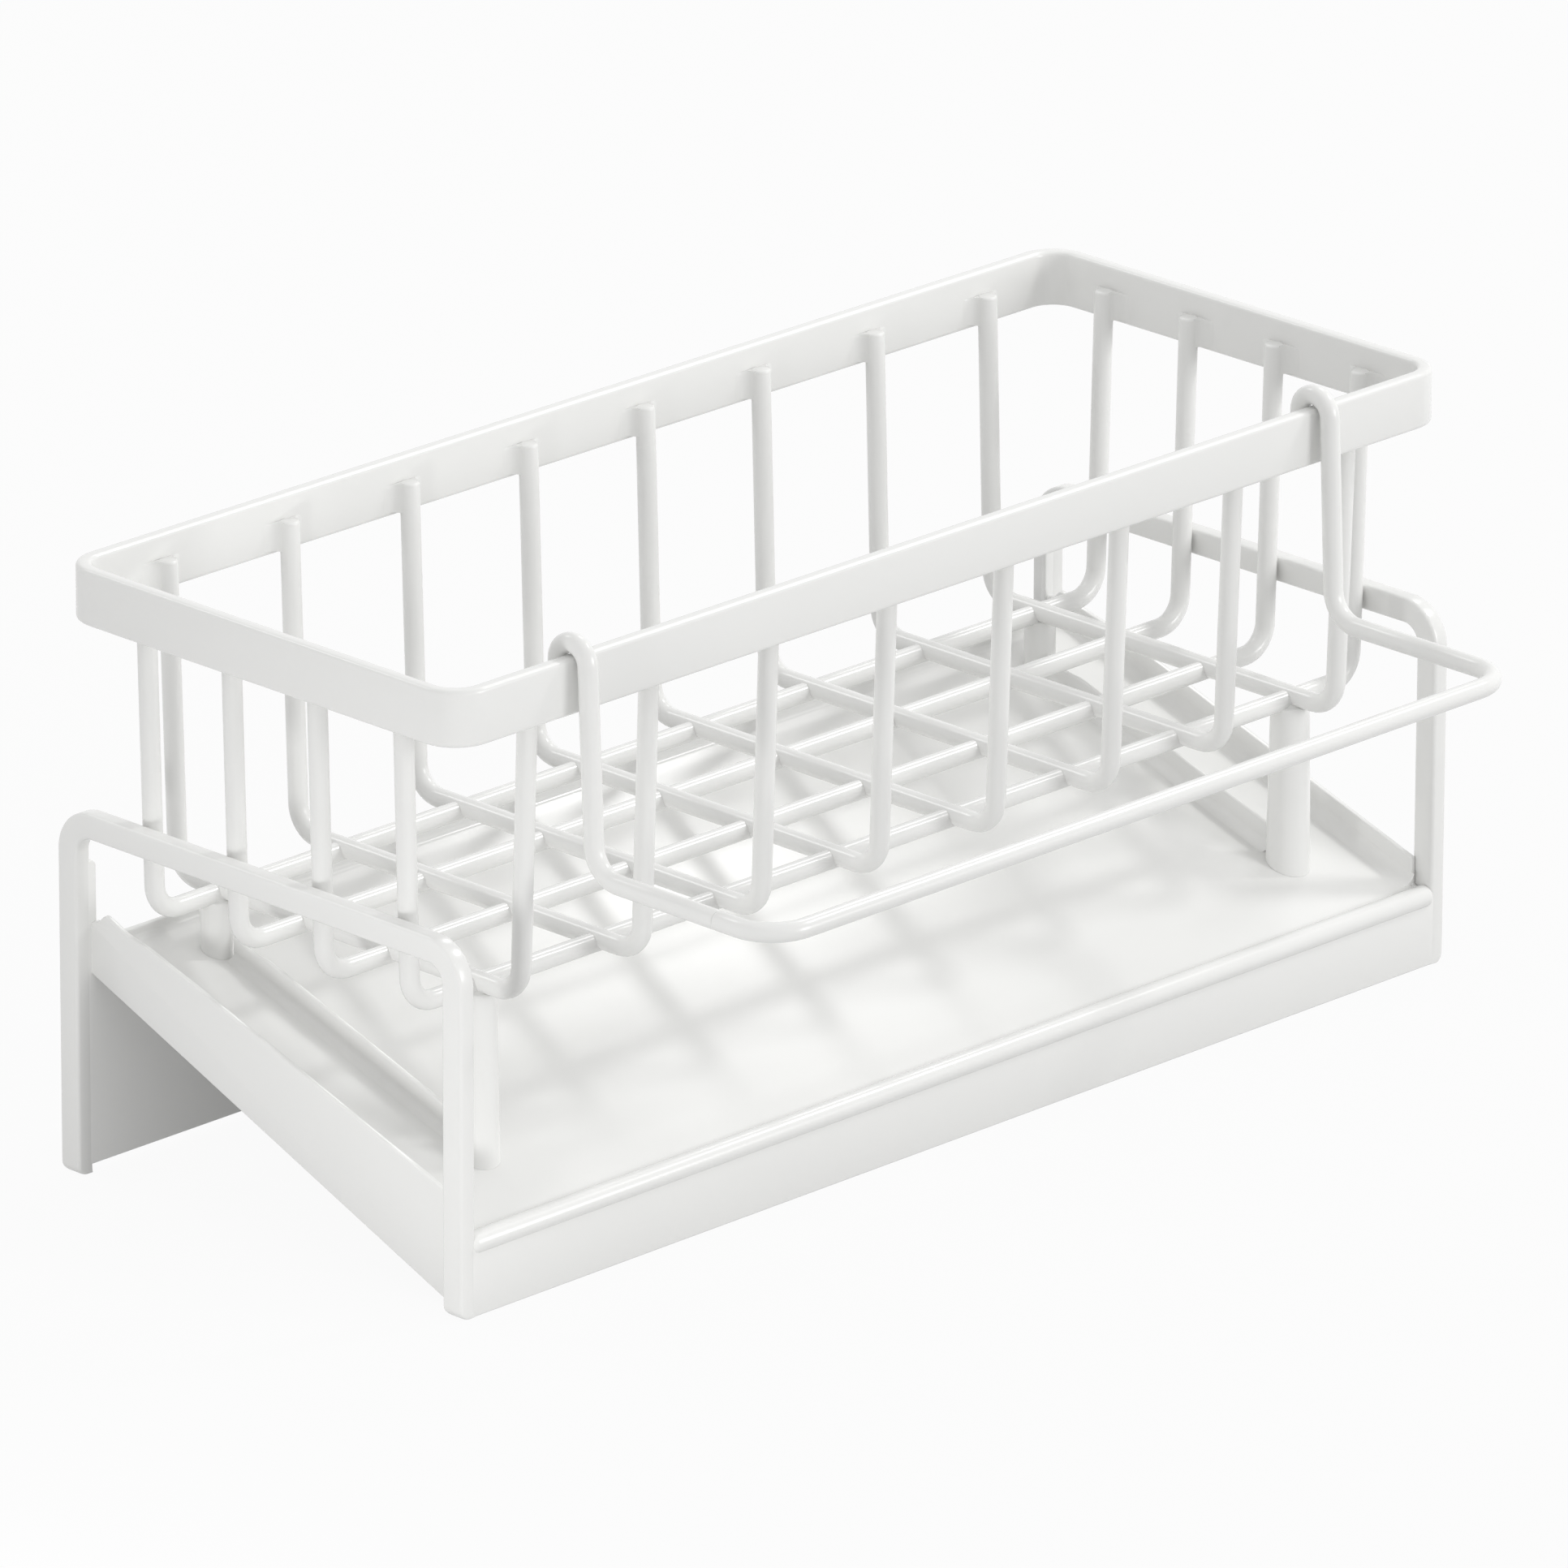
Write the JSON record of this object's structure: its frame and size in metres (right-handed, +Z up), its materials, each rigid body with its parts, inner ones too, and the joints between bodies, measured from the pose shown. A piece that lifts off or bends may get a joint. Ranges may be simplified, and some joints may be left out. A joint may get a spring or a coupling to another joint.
{
  "type": "kitchen sink caddy",
  "caption": "White coated wire basket for a kitchen sink, with a hooked towel rail on its rim, standing in a sloping drip tray between bent bar end frames.",
  "frame": {"origin": "on the counter, under the middle of the whole caddy with its towel rail", "axes": "+X along the caddy to its right, +Y from the front to the rear, +Z up"},
  "size_m": [0.25, 0.1488, 0.1185],
  "materials": {
    "stand_paint": "white satin powder coat",
    "basket_paint": "white satin powder coat",
    "rail_paint": "white satin powder coat"
  },
  "bodies": {
    "stand": {"left_end_frame": "stand_paint", "right_end_frame": "stand_paint", "rear_panel": "stand_paint", "tray_floor": "stand_paint", "left_side_wall": "stand_paint", "right_side_wall": "stand_paint", "front_apron": "stand_paint", "left_locating_fin": "stand_paint", "right_locating_fin": "stand_paint"},
    "basket": {"rim_band": "basket_paint", "cross_wire_1": "basket_paint", "cross_wire_2": "basket_paint", "cross_wire_3": "basket_paint", "cross_wire_4": "basket_paint", "cross_wire_5": "basket_paint", "cross_wire_6": "basket_paint", "cross_wire_7": "basket_paint", "cross_wire_8": "basket_paint", "long_wire_1": "basket_paint", "long_wire_2": "basket_paint", "long_wire_3": "basket_paint", "long_wire_4": "basket_paint", "front_left_post": "basket_paint", "front_right_post": "basket_paint", "rear_left_post": "basket_paint", "rear_right_post": "basket_paint"},
    "rail": {"rail_left_hook": "rail_paint", "rail_bar": "rail_paint"}
  },
  "joints": [
    {"name": "basket_lift", "type": "slide", "parent": "stand", "child": "basket", "axis": [0, 0, 1], "range_m": [0, 0.06]},
    {"name": "rail_lift", "type": "slide", "parent": "basket", "child": "rail", "axis": [0, 0, 1], "range_m": [0, 0.02]}
  ]
}
